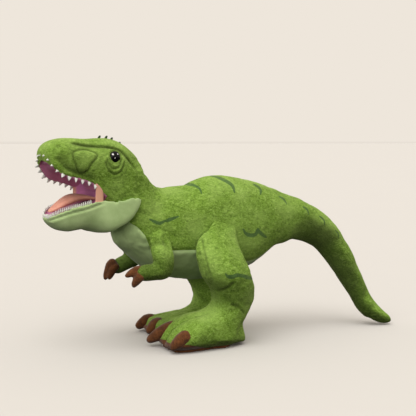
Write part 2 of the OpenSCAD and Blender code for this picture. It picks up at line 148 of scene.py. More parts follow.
def line_distance(q, line):
    """Distance of each point to a polyline, the share of its length there, and the side (+ left of its way)."""
    best = np.full(len(q), 1e9)
    share = np.zeros(len(q))
    side = np.zeros(len(q))
    lengths = np.linalg.norm(np.diff(line, axis=0), axis=1)
    total = lengths.sum()
    walked = 0.0
    for a, b, length in zip(line[:-1], line[1:], lengths):
        d = b - a
        t = np.clip(((q - a) @ d) / max(d @ d, 1e-9), 0, 1)
        r = q - (a + t[:, None] * d)
        dist = np.linalg.norm(r, axis=1)
        near = dist < best
        best[near] = dist[near]
        share[near] = (walked + t[near] * length) / total
        if q.shape[1] == 2:
            side[near] = np.sign(d[0] * r[near, 1] - d[1] * r[near, 0])
        walked += length
    return best, share, side


def inside(q, polygon):
    """Whether each 2-D point is inside a closed polygon."""
    hit = np.zeros(len(q), bool)
    for a, b in zip(polygon, np.roll(polygon, -1, axis=0)):
        crosses = (a[1] > q[:, 1]) != (b[1] > q[:, 1])
        x = (b[0] - a[0]) * (q[:, 1] - a[1]) / (b[1] - a[1] + 1e-12) + a[0]
        hit ^= crosses & (q[:, 0] < x)
    return hit


def lumps(points, size, seed, octaves=2):
    """Smooth noise from -1 to 1 at each point, with features of that size in millimetres."""
    shift = Vector((seed * 17.3, seed * 5.1, seed * 9.7))
    return np.array([noise.fractal(Vector(p) / size + shift, 1.0, 2.0, octaves) for p in points])


# ---- Meshes ----------------------------------------------------------------------------------------------------------
class Skin:
    """Points in millimetres and faces with three or four corners."""

    def __init__(self, co, faces):
        self.co = np.asarray(co, float)
        self.faces = [tuple(f) for f in faces]

    def mesh(self, name="work", metres=False):
        m = bpy.data.meshes.new(name)
        m.from_pydata((to_world(self.co) if metres else self.co).tolist(), [], self.faces)
        m.update()
        return m

    def corners(self):
        return np.array([(f[0], f[1], f[2], f[3] if len(f) == 4 else f[2]) for f in self.faces])

    def normals(self):
        k = self.corners()
        p = self.co[k]
        n = np.cross(p[:, 2] - p[:, 0], p[:, 3] - p[:, 1])
        tri = k[:, 2] == k[:, 3]
        n[tri] = np.cross(p[tri, 1] - p[tri, 0], p[tri, 2] - p[tri, 0])
        out = np.zeros_like(self.co)
        for c in range(4):
            np.add.at(out, k[:, c], n)
        return out / (np.linalg.norm(out, axis=1, keepdims=True) + 1e-12)

    def edges(self):
        k = self.corners()
        e = np.concatenate([k[:, [0, 1]], k[:, [1, 2]], k[:, [2, 3]], k[:, [3, 0]]])
        e = np.sort(e[e[:, 0] != e[:, 1]], axis=1)
        return np.unique(e, axis=0)

    def relax(self, rounds, amount=0.5):
        e = self.edges()
        count = np.zeros(len(self.co))
        np.add.at(count, e[:, 0], 1)
        np.add.at(count, e[:, 1], 1)
        for _ in range(rounds):
            total = np.zeros_like(self.co)
            np.add.at(total, e[:, 0], self.co[e[:, 1]])
            np.add.at(total, e[:, 1], self.co[e[:, 0]])
            self.co += amount * (total / np.maximum(count, 1)[:, None] - self.co)
        return self

    def swell(self, distance):
        self.co = self.co + self.normals() * distance
        return self


def places(mesh):
    """The places of a Blender mesh's vertices."""
    co = np.zeros(len(mesh.vertices) * 3)
    mesh.vertices.foreach_get("co", co)
    return co.reshape(-1, 3)


def evaluated(skin, kind, **settings):
    """The skin after one Blender modifier."""
    o = bpy.data.objects.new("work", skin.mesh())
    bpy.context.scene.collection.objects.link(o)
    m = o.modifiers.new("work", kind)
    for key, value in settings.items():
        setattr(m, key, value)
    made = bpy.data.meshes.new_from_object(o.evaluated_get(bpy.context.evaluated_depsgraph_get()))
    co, faces = places(made), [tuple(p.vertices) for p in made.polygons]
    bpy.data.objects.remove(o)
    bpy.data.meshes.remove(made)
    return Skin(co, faces)


def remeshed(skin, voxel):
    """Overlapping forms as one even quad skin."""
    return evaluated(skin, "REMESH", mode="VOXEL", voxel_size=voxel, adaptivity=0.0)


def subdivided(skin, levels=1):
    return evaluated(skin, "SUBSURF", levels=levels, render_levels=levels)


def joined(*skins):
    """Several skins as one, side by side."""
    co, faces, n = [], [], 0
    for s in skins:
        co.append(s.co)
        faces += [tuple(i + n for i in f) for f in s.faces]
        n += len(s.co)
    return Skin(np.concatenate(co), faces)


def cad(node):
    """A CAD node's mesh, its corners merged."""
    bm = bmesh.new()
    bm.from_mesh(frame["nodes"][node].data)
    bmesh.ops.remove_doubles(bm, verts=bm.verts, dist=1e-6)
    bm.verts.index_update()
    co = np.array([v.co for v in bm.verts]) * 1000 - OFFSET
    faces = [tuple(v.index for v in f.verts) for f in bm.faces]
    bm.free()
    return Skin(co, faces)


def hull(points):
    """The convex form round some points."""
    bm = bmesh.new()
    for p in points:
        bm.verts.new(p)
    made = bmesh.ops.convex_hull(bm, input=bm.verts)
    bmesh.ops.delete(bm, geom=[g for g in set(made["geom_interior"] + made["geom_unused"])
                               if isinstance(g, bmesh.types.BMVert)], context="VERTS")
    bm.verts.index_update()
    co = np.array([v.co for v in bm.verts])
    faces = [tuple(v.index for v in f.verts) for f in bm.faces]
    bm.free()
    return Skin(co, faces)


def drum(first, second, pivot, axis, reach):
    """A convex plug across a flexure, between the rims of the forms on its two sides."""
    points = []
    for s in (first, second):
        along_axis = (s.co - pivot) @ axis
        points.append(s.co[np.abs(along_axis) < reach])
    return hull(np.concatenate(points))


def loft(rows):
    """A closed skin through rows of equally many points, each row a ring."""
    rows = np.asarray(rows, float)
    n, m = rows.shape[:2]
    co = rows.reshape(-1, 3)
    faces = []
    for i in range(n - 1):
        for k in range(m):
            a, b = i * m + k, i * m + (k + 1) % m
            faces.append((a, b, b + m, a + m))
    co = np.concatenate([co, rows[0].mean(0)[None], rows[-1].mean(0)[None]])
    for k in range(m):
        faces.append((n * m, (k + 1) % m, k))
        faces.append((n * m + 1, (n - 1) * m + k, (n - 1) * m + (k + 1) % m))
    return Skin(co, faces)


def puffed(skin, pinned, pressure, cap):
    """The stuffing's push: a short cloth simulation with some points held, and its travel capped."""
    o = bpy.data.objects.new("puff", Skin(skin.co / 1000, skin.faces).mesh())
    bpy.context.scene.collection.objects.link(o)
    group = o.vertex_groups.new(name="held")
    held = np.clip(pinned, 0, 1)
    for level in (0.25, 0.5, 0.75, 1.0):
        ids = np.nonzero((held > level - 0.25) & (held <= level))[0].tolist()
        group.add(ids, level, "REPLACE")
    m = o.modifiers.new("cloth", "CLOTH")
    m.settings.quality = 5
    m.settings.mass = 0.25
    m.settings.tension_stiffness = 12
    m.settings.compression_stiffness = 12
    m.settings.shear_stiffness = 6
    m.settings.bending_stiffness = 0.6
    m.settings.use_pressure = True
    m.settings.uniform_pressure_force = pressure
    m.settings.vertex_group_mass = "held"
    m.settings.effector_weights.gravity = 0
    m.settings.shrink_min = -0.02
    m.collision_settings.use_collision = False
    m.point_cache.frame_start, m.point_cache.frame_end = 1, 20
    scene = bpy.context.scene
    for f in range(1, 21):
        scene.frame_set(f)
    made = o.evaluated_get(bpy.context.evaluated_depsgraph_get()).to_mesh()
    move = places(made) * 1000 - skin.co
    bpy.data.objects.remove(o)
    scene.frame_set(1)
    length = np.linalg.norm(move, axis=1, keepdims=True)
    move *= np.minimum(1, cap / np.maximum(length, 1e-6))
    return Skin(skin.co + move, skin.faces)


def cut(skin, keep):
    """The part of a skin whose faces are kept, and the old number of each of its points."""
    faces = [f for f, k in zip(skin.faces, keep) if k]
    used = np.unique(np.concatenate([np.array(f) for f in faces]))
    new = np.full(len(skin.co), -1)
    new[used] = np.arange(len(used))
    return Skin(skin.co[used], [tuple(int(new[i]) for i in f) for f in faces]), used


def face_centres(skin):
    k = skin.corners()
    return skin.co[k].mean(1)


def snapped(skin, field, reach=1.6):
    """Moves the points along a field's zero level onto it, so that a cut there is a clean line."""
    side = field(face_centres(skin)) > 0
    k = skin.corners()
    over = np.zeros(len(skin.co), bool)
    under = np.zeros(len(skin.co), bool)
    over[k[side].ravel()] = True
    under[k[~side].ravel()] = True
    edge = np.nonzero(over & under)[0]
    p = skin.co[edge]
    for _ in range(4):
        f = field(p)
        g = np.stack([(field(p + e) - f) / 0.3 for e in 0.3 * np.eye(3)], 1)
        step = -f[:, None] * g / np.maximum((g**2).sum(1, keepdims=True), 0.04)
        length = np.linalg.norm(step, axis=1, keepdims=True)
        p = p + step * np.minimum(1, 0.8 / np.maximum(length, 1e-6))
    moved = p - skin.co[edge]
    length = np.linalg.norm(moved, axis=1, keepdims=True)
    skin.co[edge] += moved * np.minimum(1, reach / np.maximum(length, 1e-6))
    return side


# ---- The one skin of trunk, neck, head and tail ----------------------------------------------------------------------
SKIN_T = 2.4
grown = {n: cad(n).swell(SKIN_T) for n in
         ("trunk_filling", "head_filling", "tail_base_filling", "tail_tip_filling")}
head_points = to_head(grown["head_filling"].co)
eye_band = from_head(head_points[(head_points[:, 0] > -178) & (head_points[:, 0] < -141)])
LIP_Z = [(-238.5, 242.5), (-237, 238.5), (-233.8, 229), (-230, 223.5), (-224.7, 217), (-218, 213.8), (-212, 212),
         (-199, 208.5), (-186, 204), (-178, 197), (-170, 189.5), (-164, 182), (-150, 178), (-135, 175), (-118, 170)]
LIP_HALF = [(-239, 1), (-238.5, 7), (-237, 14), (-233.8, 21.5), (-230, 24.5), (-224.7, 27), (-218, 28.5),
            (-212, 29.5), (-199, 31), (-186, 32.5), (-172, 33.5), (-160, 35), (-148, 36), (-118, 36)]
SNOUT_TOP = [(-238.5, 245.5), (-236, 248), (-230, 248), (-218, 243), (-199, 232), (-186, 226), (-172, 216),
             (-150, 212), (-118, 205)]
rows = []
for x in np.concatenate([np.linspace(-238.4, -228, 9), np.linspace(-225, -120, 24)]):
    low, top, half = (read(table, x) for table in (LIP_Z, SNOUT_TOP, LIP_HALF))
    c, s = circle(32)
    rows.append(np.stack([np.full(32, x), half * np.sign(c) * np.abs(c) ** 0.5,
                          (low + top) / 2 + (top - low) / 2 * np.sign(s) * np.abs(s) ** 0.5], 1))
snout = loft(rows)
snout.co = from_head(snout.co)
body = joined(
    *grown.values(), hull(eye_band), snout,
    drum(grown["trunk_filling"], grown["head_filling"], NECK, NECK_AXIS, 13),
    drum(grown["trunk_filling"], grown["tail_base_filling"], TAIL_BASE, TAIL_BASE_AXIS, 10),
    drum(grown["tail_base_filling"], grown["tail_tip_filling"], TAIL_TIP, TAIL_TIP_AXIS, 7))
body = remeshed(body, 3.0).relax(2).swell(5.0)
body = remeshed(body, 3.0).swell(-5.0).relax(7, 0.6).swell(0.9)
body.co[:, 2] -= min(body.co[:, 2].min(), 0)


def neck_share(p):
    """Distance ahead of the neck's middle plane."""
    return (p - NECK) @ NECK_AXIS


body_held = ease(8, 0, np.abs(neck_share(body.co))) * 0.25 + ease(6, 3, body.co[:, 2])
body = puffed(body, body_held, 3.0, 1.6)
body.relax(1, 0.4)
body = subdivided(body)

# ---- Features of the head, in the head's frame, on both sides --------------------------------------------------------
EYE = np.array([-159.0, 33.0, 238.4])  # the right eye; the left one mirrors it
BROW = smooth_line([(-219, 257), (-212, 256), (-205.9, 255.2), (-191.3, 252.8), (-174.6, 252.2), (-162.7, 250.8),
                    (-154.1, 248.7), (-147.9, 244.7), (-142, 238.1), (-134.8, 229), (-129.2, 221.8), (-124, 211)])
PATCH = smooth_line([(-211.3, 245.6), (-199.7, 248.4), (-189.4, 246.6), (-183.2, 242.5), (-184, 238), (-190.5, 231),
                     (-194.5, 224), (-199, 219.5), (-205.5, 220.5), (-210, 231), (-213.3, 239.7)], closed=True)


def ring(x, a, b, start, end):
    """An arc round the eye, in side view."""
    t = np.radians(np.linspace(start, end, 25))
    return np.stack([EYE[0] + x + a * np.cos(t), EYE[2] + b * np.sin(t)], 1)


OUTER_LID = ring(-1.5, 12.6, 20.6, 196, 342)
INNER_LID = ring(-2.3, 9.4, 13.6, 192, 350)


def palate(p):
    """Millimetres inside the lips, positive on the palate, for points in the head's frame."""
    inner = along(LIP_HALF, p[:, 0]) - 3.6 - np.abs(p[:, 1])
    under = along(LIP_Z, p[:, 0]) + 0.5 + 6.5 * ease(-237, -228, p[:, 0]) - p[:, 2]
    return np.minimum(np.minimum(inner, under), -168 - p[:, 0])


def far_lip(p):
    """From 0 to 1 along the right lip, which hangs lower than the left one."""
    return ease(-232, -218, p[:, 0]) * ease(-176, -188, p[:, 0]) * ease(6, 26, p[:, 1])


def palate_at(p):
    return palate(to_head(p))


roof = snapped(body, palate_at) & (neck_share(face_centres(body)) > 10)
head_zone = neck_share(body.co) > -6
h = to_head(body.co)
n = body.normals()
nh = turned(n + NECK, -HEAD_TURN) - NECK
side_on = ease(0.15, 0.5, np.abs(nh[:, 1])) * head_zone
q = h[:, [0, 2]]
push = np.zeros(len(body.co))
# Painted shade, multiplied into the colour: darker along the head's creases, seams and hollows and on the undersides.
shade = np.ones(len(body.co))

d, t, s = line_distance(q, BROW)
ends = ease(0, 0.12, t) * ease(1.0, 0.72, t)
wide = ease(0.1, 0.35, np.abs(nh[:, 1])) * head_zone
push += wide * ends * (-1.5 * bell(d, 1.1) + np.where(s > 0, 0.9 * bell(d, 12), -1.2 * bell(d, 7)))
# Painted shade along the brow's crease: narrow above the line and wider below it.
shade *= 1 - wide * ends * np.where(s > 0, 0.6 * bell(d, 1.1), 0.6 * bell(d, 2.6))

patch_in = inside(q, PATCH)
d, t, s = line_distance(q, PATCH)
push += side_on * (-1.5 * bell(d, 1.3) + np.where(patch_in, 1.2 * ease(0, 4, d), 0))
# Painted shade in the groove round the cheek patch.
shade *= 1 - side_on * 0.5 * bell(d, 1.1)

# Painted shade in the grooves of the two rings round the eye.
for lid, depth in ((OUTER_LID, 1.3), (INNER_LID, 1.3)):
    d, t, s = line_distance(q, lid)
    push += side_on * (-depth * bell(d, 1.1) + 0.7 * bell(d - 2.6, 1.5))
    shade *= 1 - side_on * 0.5 * bell(d, 1.0)
eye_d = np.hypot(q[:, 0] - EYE[0], q[:, 1] - EYE[2])
push += side_on * (-2.0 * bell(eye_d, 9.0) + 0.9 * bell(eye_d - 10.2, 1.6))
# Painted shade: a dark ring at the edge of the eye's socket.
shade *= 1 - side_on * 0.3 * bell(eye_d - 8.2, 1.0)

HOLLOW = smooth_line([(-234.5, 240), (-229.3, 234), (-221, 225.3), (-213, 220.8), (-206, 218), (-193, 213),
                      (-184, 209.5)])
d, t, s = line_distance(q, HOLLOW)
fade = ease(0, 0.12, t) * ease(1, 0.7, t)
push += side_on * fade * (-2.0 * bell(d, 2.0) - np.where(s > 0, 1.6 * bell(d - 4, 5.5), 0))
# Painted shade in the hollow above the lip: a wide band above the line and a thin one below it.
shade *= 1 - side_on * fade * np.where(s > 0, 0.42 * bell(d - 2, 5.5), 0.42 * bell(d, 1.5))
nostril = np.hypot((q[:, 0] + 228) / 1.4, q[:, 1] - 252.5)
push += side_on * -1.2 * bell(nostril, 2.2)
# Painted shade in the nostril's dent.
shade *= 1 - side_on * 0.35 * bell(nostril, 2.0)
# Painted shade: a soft dark spot above the back of the lip.
shade *= 1 - side_on * 0.3 * bell(np.hypot(q[:, 0] + 190, q[:, 1] - 215), 6)

lip = palate(h)
lip_height = h[:, 2] - along(LIP_Z, h[:, 0])
near_lip = (h[:, 0] < -166) & head_zone
push += near_lip * 1.2 * bell(lip + 3.0, 2.4) * bell(lip_height - 2, 4)
body.co += n * push[:, None]
h = to_head(body.co)
target = along(LIP_Z, h[:, 0]) + 9.5 * ease(0, 13, lip) * ease(-238, -226, h[:, 0]) + 2.0 * ease(0, 4, lip)
lift = (target - h[:, 2]) * ease(0, 2.2, lip) * head_zone * (lip > 0)
body.co[:, 2] += lift
body.co[:, 2] -= 4.0 * far_lip(h) * ease(16, 2, lip_height) * head_zone

# ---- Features of the trunk and tail ----------------------------------------------------------------------------------
p = body.co
n = body.normals()
push = np.zeros(len(p))
rear = neck_share(p) < 6
PANEL_EDGE = [(-150, 170), (-130, 158), (-122, 152), (-113, 142), (-108, 132), (-104, 124), (-96, 121), (-80, 121.5),
              (-60, 121.5), (-35, 120), (-10, 114), (12, 104), (30, 100), (52, 103), (75, 113), (90, 121)]


def panel(p):
    """Positive on the pale throat, chest and belly, in the design's axes."""
    x, z = p[:, 0], p[:, 2]
    low = along(PANEL_EDGE, x) - z
    return np.where(x > 84, -5.0, 0.8 * low * (np.abs(p[:, 1]) < 60))


edge = panel(p)
push += rear * (-1.1 * bell(edge, 1.3) + 0.4 * bell(edge - 4, 3))
seam_line = np.abs(p[:, 1]) + 3 * (1 - ease(0.2, 0.7, n[:, 2]))
not_head = neck_share(p) < 4
push += not_head * (p[:, 0] < 130) * -0.5 * bell(seam_line, 1.2)
nape = ease(0.3, 0.8, n[:, 2]) * bell(p[:, 0] + 104, 26)
push += 2.2 * nape
push += 0.9 * lumps(p, 26, 1) * ease(-2, 8, -neck_share(p))
push += 0.35 * lumps(p, 8, 2, 1)
body.co += n * push[:, None]
body.co[:, 2] = np.maximum(body.co[:, 2], 0.3)
n = body.normals()
tail = ease(85, 150, body.co[:, 0])
green_part = ease(-0.6, 0.6, panel(body.co))
# Painted shade: green parts darker on downward faces, and the tail much darker on all but its top.
shade *= 1 - 0.42 * ease(0.1, -0.8, n[:, 2]) * (1 - tail) * green_part - 0.72 * tail * ease(0.62, -0.15, n[:, 2])

# ---- Printed stripes -------------------------------------------------------------------------------------------------
STRIPES = [
    # printed on both sides: points in side view, and half widths along them
    ([(-54, 207), (-44, 204), (-36, 202), (-31.6, 197), (-31.5, 191)], [0.8, 1.6, 2.6, 1.6, 0.5]),
    ([(-4, 212), (3, 209), (9, 205), (13.5, 200), (13.6, 191)], [1.0, 2.4, 2.6, 2.2, 0.6]),
    ([(49, 201), (55, 197.5), (56.5, 193), (53, 188)], [0.8, 1.8, 1.8, 0.6]),
    ([(86, 184), (93, 180), (95.3, 173.5)], [0.8, 1.7, 0.6]),
    ([(124, 169), (130, 165), (131, 158)], [0.8, 1.5, 0.6]),
    ([(151, 155), (157, 150), (157, 143)], [0.8, 1.4, 0.5]),
    ([(175, 135), (180, 130), (180, 124)], [0.6, 1.2, 0.5]),
    ([(21, 145), (24, 140), (29.1, 136.9), (35, 135.8), (40.7, 137), (43.3, 143), (46, 140), (51, 136), (59, 131.5)],
     [0.8, 1.8, 2.6, 2.2, 2.4, 1.8, 2.2, 2.0, 0.8]),
    ([(-108, 162), (-102, 159), (-96, 156.6), (-89.5, 159.2), (-86, 159.5), (-82.6, 160.8), (-70.2, 164.3)],
     [0.8, 1.8, 2.0, 1.2, 2.2, 1.6, 0.5]),
    ([(-94, 206), (-91, 202), (-90, 198)], [0.8, 1.2, 0.5]),
]


def stripes(p, marks):
    """How strongly each point is inside a printed stripe, in side view."""
    out = np.zeros(len(p))
    q = p[:, [0, 2]]
    for points, widths in marks:
        line = smooth_line(points, 5)
        d, t, _ = line_distance(q, line)
        w = np.interp(t, np.linspace(0, 1, len(widths)), widths)
        out = np.maximum(out, ease(1.2, -0.8, d - w))
    return out


# ---- Materials -------------------------------------------------------------------------------------------------------
class Shader:
    """A small helper for building a node material."""

    def __init__(self, name):
        self.material = bpy.data.materials.new(name)
        self.material.use_nodes = True
        self.tree = self.material.node_tree
        self.surface = self.tree.nodes["Principled BSDF"]
        self.place = self.node("ShaderNodeTexCoord").outputs["Object"]

    def node(self, kind, inputs=None, **settings):
        made = self.tree.nodes.new(kind)
        for key, value in settings.items():
            setattr(made, key, value)
        for key, value in (inputs or {}).items():
            if isinstance(value, bpy.types.NodeSocket):
                self.tree.links.new(value, made.inputs[key])
            else:
                made.inputs[key].default_value = value
        return made

    def noise(self, scale, detail=3.0, rough=0.55, vector=None):
        return self.node("ShaderNodeTexNoise", {"Vector": vector or self.place, "Scale": scale, "Detail": detail,
                                                "Roughness": rough}).outputs["Fac"]

    def spread(self, value, low, high, to_low=0.0, to_high=1.0):
        return self.node("ShaderNodeMapRange", {"Value": value, "From Min": low, "From Max": high,
                                                "To Min": to_low, "To Max": to_high}).outputs["Result"]

    def mixed(self, share, a, b, blend="MIX"):
        made = self.node("ShaderNodeMix", data_type="RGBA", blend_type=blend)
        for socket, value in ((made.inputs[0], share), (made.inputs[6], a), (made.inputs[7], b)):
            if isinstance(value, bpy.types.NodeSocket):
                self.tree.links.new(value, socket)
            else:
                socket.default_value = value if not isinstance(value, tuple) else (*value, 1)[:4]
        return made.outputs[2]

    def maths(self, operation, a, b=0.0):
        return self.node("ShaderNodeMath", {0: a, 1: b}, operation=operation).outputs[0]

    def stored(self, name):
        return self.node("ShaderNodeAttribute", attribute_name=name).outputs["Fac"]

    def bump(self, *layers):
        normal = None
        for height, strength, distance in layers:
            inputs = {"Height": height, "Strength": strength, "Distance": distance}
            if normal is not None:
                inputs["Normal"] = normal
            normal = self.node("ShaderNodeBump", inputs).outputs["Normal"]
        self.tree.links.new(normal, self.surface.inputs["Normal"])

    def finish(self, color, **constants):
        self.tree.links.new(color, self.surface.inputs["Base Color"])
        for key, value in constants.items():
            self.surface.inputs[key.replace("_", " ")].default_value = value
        return self.material


def plush(name, light, middle, dark, stripe):
    """Short clumped pile: light tips, dark roots, patchy hue, printed stripes and painted shading stored at the points.
    """
    m = Shader(name)
    stretch = m.node("ShaderNodeMapping", {"Vector": m.place, "Scale": (0.8, 1.0, 1.3), "Rotation": (0.3, 0.5, 0.0)})
    warp = m.node("ShaderNodeTexNoise", {"Vector": m.place, "Scale": 120.0, "Detail": 2.0}).outputs["Color"]
    bent = m.node("ShaderNodeVectorMath", {0: stretch.outputs["Vector"],
                  1: m.node("ShaderNodeVectorMath", {0: warp, "Scale": 0.012}, operation="SCALE").outputs[0]},
                  operation="ADD").outputs[0]
    tips = m.noise(800.0, 4.0, 0.66, bent)
    clumps = m.noise(300.0, 3.0, 0.6, bent)
    patches = m.noise(26.0, 2.0, 0.5)
    lit = m.maths("ADD", m.maths("MULTIPLY", m.spread(tips, 0.32, 0.7), 0.5),
                  m.maths("MULTIPLY", m.spread(clumps, 0.3, 0.7), 0.42))
    color = m.mixed(m.spread(lit, 0.1, 0.52), dark, middle)
    color = m.mixed(m.spread(lit, 0.5, 0.92), color, light)
    color = m.mixed(m.spread(patches, 0.42, 0.68, 0.0, 0.35), color, light)
    printed = m.maths("ADD", m.stored("stripe"), m.maths("MULTIPLY", m.maths("SUBTRACT", tips, 0.5), 0.7))
    color = m.mixed(m.spread(printed, 0.38, 0.62, 0.0, 0.82), color, stripe)
    # Painted shade: the colour times the stored values.
    color = m.mixed(1.0, color, m.stored("shade"), "MULTIPLY")
    m.bump((clumps, 0.55, 0.0022), (tips, 0.7, 0.0011))
    return m.finish(color, Roughness=0.95, Sheen_Weight=0.22, Sheen_Roughness=0.45,
                    Sheen_Tint=(*[min(1.0, c * 1.8 + 0.12) for c in light], 1.0), Specular_IOR_Level=0.12)


def velour(name, light, dark, scale=900.0, sheen=0.15, web=None):
    """Very short smooth pile with faint patches."""
    m = Shader(name)
    fine = m.noise(scale, 3.0, 0.6)
    patches = m.noise(55.0, 3.0, 0.55)
    color = m.mixed(m.spread(patches, 0.3, 0.7), dark, light)
    color = m.mixed(m.spread(fine, 0.35, 0.7, 0.0, 0.25), color, light)
    if web:
        color = m.mixed(m.stored("web"), color, web)
    # Painted shade: the colour times the stored values.
    color = m.mixed(1.0, color, m.stored("shade"), "MULTIPLY")
    m.bump((patches, 0.12, 0.002), (fine, 0.28, 0.0006))
    return m.finish(color, Roughness=0.85, Sheen_Weight=sheen, Sheen_Roughness=0.5,
                    Specular_IOR_Level=0.2)


def felt(name, light, dark):
    """Matted fibres in two tones."""
    m = Shader(name)
    fibres = m.noise(700.0, 5.0, 0.7)
    patches = m.noise(140.0, 2.0, 0.5)
    color = m.mixed(m.spread(m.maths("ADD", m.maths("MULTIPLY", fibres, 0.6), m.maths("MULTIPLY", patches, 0.4)),
                             0.36, 0.64), dark, light)
    m.bump((patches, 0.2, 0.0015), (fibres, 0.55, 0.0008))
    return m.finish(color, Roughness=0.9, Sheen_Weight=0.2, Specular_IOR_Level=0.15)


def glossy(name, color, rough):
    """Polished plastic with a small painted highlight: a white catchlight stored at its points."""
    m = Shader(name)
    cloud = m.noise(90.0, 2.0)
    tint = m.mixed(m.spread(cloud, 0.3, 0.7), color, tuple(c * 1.5 + 0.001 for c in color))
    # Painted highlight: white where the stored catchlight is.
    tint = m.mixed(m.stored("glint"), tint, (1.0, 1.0, 1.0))
    m.bump((m.noise(40.0, 1.0), 0.02, 0.001))
    return m.finish(tint, Roughness=rough, Specular_IOR_Level=0.16)


GREEN = plush("green_plush", (0.40, 0.58, 0.15), (0.20, 0.345, 0.045), (0.055, 0.12, 0.010), (0.05, 0.115, 0.04))
PALE = velour("pale_velour", (0.50, 0.66, 0.31), (0.36, 0.51, 0.21))
MAUVE = velour("mouth_fabric", (0.66, 0.26, 0.44), (0.50, 0.18, 0.32), 1100.0, 0.1)
PEACH = velour("tongue_fabric", (0.78, 0.38, 0.28), (0.60, 0.25, 0.18), 1100.0, 0.1)
MOUTH = velour("mouth_back_fabric", (0.70, 0.26, 0.52), (0.54, 0.19, 0.40), 1100.0, 0.1, (0.80, 0.42, 0.30))
BROWN = felt("brown_felt", (0.165, 0.058, 0.016), (0.050, 0.017, 0.006))
WHITE = felt("white_felt", (0.90, 0.90, 0.87), (0.66, 0.68, 0.63))
DARK = felt("dark_felt", (0.05, 0.09, 0.03), (0.02, 0.04, 0.015))
BLACK = glossy("eye_gloss", (0.002, 0.002, 0.0025), 0.04)


# ---- Pieces ----------------------------------------------------------------------------------------------------------
def piece(name, skin, material, slot, nodes=(), fill=None, **fields):
    """A visible object, the CAD nodes it stands for and the values stored at its points; its stuffing (fill) is not
    used.
    """
    m = skin.mesh(name, metres=True)
    m.materials.append(material)
    m.polygons.foreach_set("use_smooth", [True] * len(m.polygons))
    # Pieces given no painted shade keep their colour unchanged.
    fields.setdefault("shade", np.ones(len(skin.co)))
    for key, value in fields.items():
        m.attributes.new(key, "FLOAT", "POINT").data.foreach_set("value", value.astype(np.float32))
    o = bpy.data.objects.new(name, m)
    bpy.context.scene.collection.objects.link(o)
    if nodes:
        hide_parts(*nodes)
    return o


def bend(o, a, b, start, end):
    """Bakes a piece's placement into its mesh; it does no blending across a joint. The two bodies (a, b) are not used,
    and the two points (start, end) have no effect.
    """
    tuple(to_world([start])[0])
    tuple(to_world([end])[0])
    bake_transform(o)


centres = face_centres(body)
ahead = neck_share(centres) > 2
tail_b = (centres - TAIL_BASE) @ TAIL_BASE_AXIS > 0
tail_t = (centres - TAIL_TIP) @ TAIL_TIP_AXIS > 0
pale = snapped(body, panel) & (neck_share(face_centres(body)) < 40)
mark = stripes(body.co, STRIPES) * (neck_share(body.co) < 8)


def body_piece(name, keep, material, slot, nodes, fill=None):
    part, used = cut(body, keep)
    return piece(name, part, material, slot, nodes, fill, shade=shade[used], stripe=mark[used])


left = centres[:, 1] < 0
head_mask = ahead & ~roof
throat_mask = head_mask & pale & (to_head(centres)[:, 0] > -150)
green_head = head_mask & ~throat_mask
NECK_FRONT = NECK + NECK_AXIS * 2
trunk_mask = ~ahead & ~tail_b
for name, keep, material, slot, nodes, fill in [
        ("trunk_skin_left", trunk_mask & ~pale & left, GREEN, "plush_green", ["trunk_skin_left", "trunk_filling"], 0.8),
        ("trunk_skin_right", trunk_mask & ~pale & ~left, GREEN, "plush_green", ["trunk_skin_right"], 0.8),
        ("belly_panel", trunk_mask & pale, PALE, "plush_pale", ["belly_panel"], None)]:
    bend(body_piece(name, keep, material, slot, nodes, fill), "trunk", "neck", NECK - NECK_AXIS * 11, NECK_FRONT)
head_left = to_head(centres)[:, 1] < 0
for name, keep, material, slot, nodes, fill in [
        ("head_skin_left", green_head & head_left, GREEN, "plush_green",
         ["head_skin_left", "head_filling", "neck_filling"], 0.9),
        ("head_skin_right", green_head & ~head_left, GREEN, "plush_green",
         ["head_skin_right", "crown_gusset"], 0.9),
        ("throat_panel", throat_mask, PALE, "plush_pale", ["throat_panel"], None)]:
    bend(body_piece(name, keep, material, slot, nodes, fill), "neck", "head", NECK_FRONT, NECK + NECK_AXIS * 15)
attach(body_piece("palate_lining", ahead & ~head_mask, MAUVE, "mouth_fabric", ["palate_lining"]), "head")
bend(body_piece("tail_base_skin", tail_b & ~tail_t, GREEN, "plush_green", ["tail_base_skin", "tail_base_filling"],
                0.85), "trunk", "tail_base", TAIL_BASE, TAIL_BASE + TAIL_BASE_AXIS * 22)
bend(body_piece("tail_tip_skin", tail_t, GREEN, "plush_green", ["tail_tip_skin", "tail_tip_filling"], 0.85),
     "tail_base", "tail_tip", TAIL_TIP, TAIL_TIP + TAIL_TIP_AXIS * 16)

# ---- Eyes ------------------------------------------------------------------------------------------------------------
for side, name in SIDES:
    c, s = circle(40)
    rows = []
    for a in np.linspace(0, math.pi / 2, 12)[:-1]:
        rows.append(np.stack([7.2 * np.cos(a) * c, np.full(40, 4.6 * np.sin(a)), 7.5 * np.cos(a) * s], 1))
    base = rows[0] * np.array([0.97, 1, 0.97]) - np.array([0, 2.5, 0])
    dome = loft([base] + rows)
    dome.co[:, 1] *= side
    if side < 0:
        dome.faces = [tuple(reversed(f)) for f in dome.faces]
    spot = EYE * np.array([1, side, 1])
    dome = subdivided(Skin(from_head(dome.co + spot), dome.faces), 2)
    local = to_head(dome.co) - spot
    # Painted highlights: three white catchlights fixed on each eye's dome.
    glint = np.zeros(len(local))
    for gx, gz, size in ((-4.0, 3.6, 0.95), (2.2, 3.9, 0.8), (-2.0, -0.8, 0.6)):
        glint = np.maximum(glint, ease(size + 0.35, size - 0.35, np.hypot(local[:, 0] - gx, local[:, 2] - gz)))
    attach(piece(f"eye_{name}", dome, BLACK, "eye_plastic", [f"eye_{name}", f"eye_washer_{name}"], glint=glint),
            "head")

